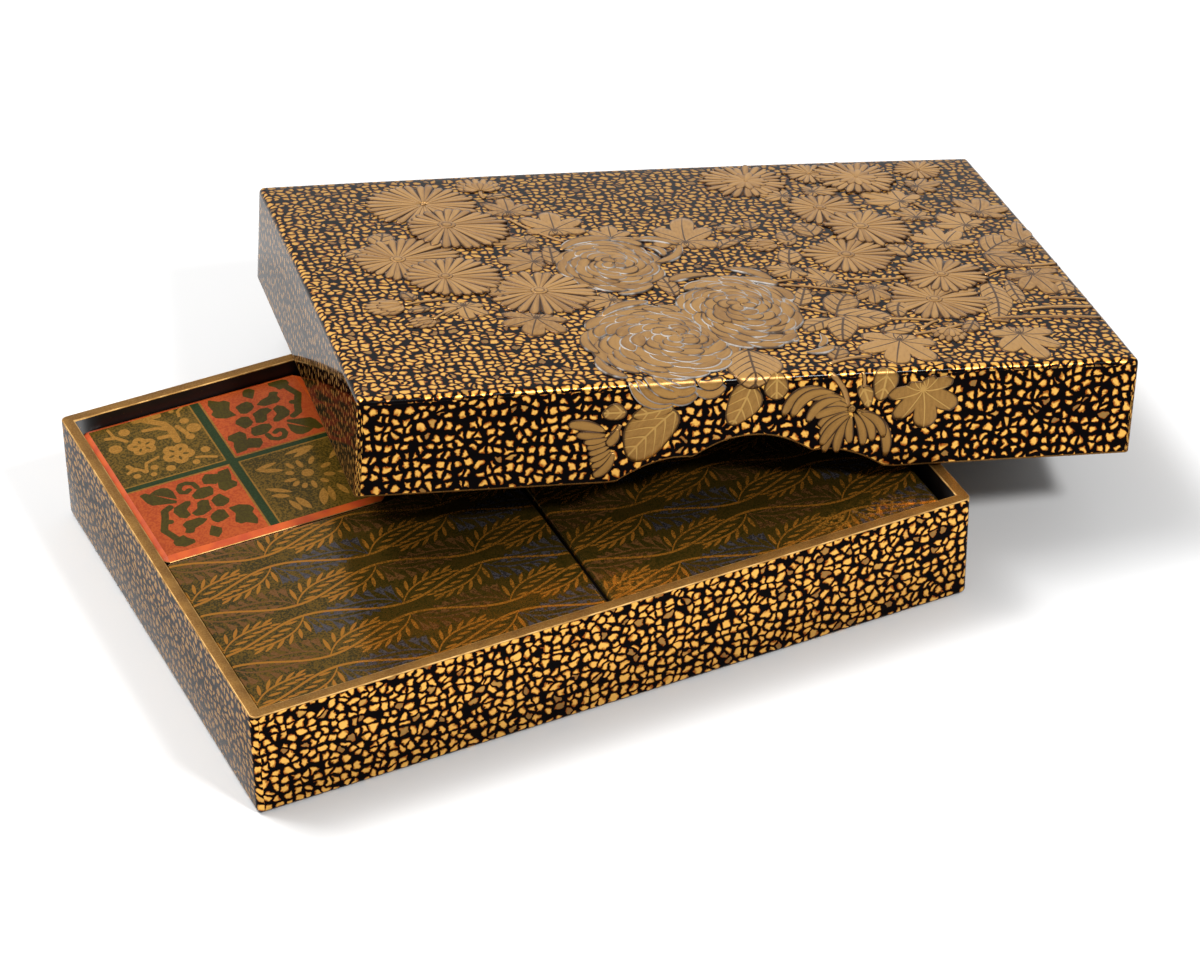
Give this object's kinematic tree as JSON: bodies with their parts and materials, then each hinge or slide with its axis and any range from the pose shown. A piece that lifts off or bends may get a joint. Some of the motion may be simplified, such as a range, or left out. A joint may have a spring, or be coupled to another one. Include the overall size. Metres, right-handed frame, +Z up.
{
  "type": "lacquer incense box",
  "caption": "Shallow gold-flake lacquer box for incense: tray with small lidded boxes, loose cover with raised chrysanthemums leaning open on it.",
  "frame": {"origin": "middle of the tray's underside, on the surface that the box stands on", "axes": "+X along the tray to the right, +Y to the back, +Z up"},
  "size_m": [0.1639, 0.1116, 0.0441],
  "materials": {
    "tray_lacquer": "gloss lacquer with gold flakes",
    "cover_lacquer": "gloss lacquer with gold flakes and raised gold",
    "black_lacquer": "gloss lacquer",
    "red_lacquer": "satin painted lacquer",
    "willow_lacquer": "satin painted lacquer"
  },
  "bodies": {
    "root": {"base_tray": "tray_lacquer", "cover": "cover_lacquer", "red_box_body": "black_lacquer", "red_box_lid": "red_lacquer", "willow_box_left_body": "black_lacquer", "willow_box_left_lid": "willow_lacquer", "willow_box_right_body": "black_lacquer", "willow_box_right_lid": "willow_lacquer"}
  },
  "joints": []
}
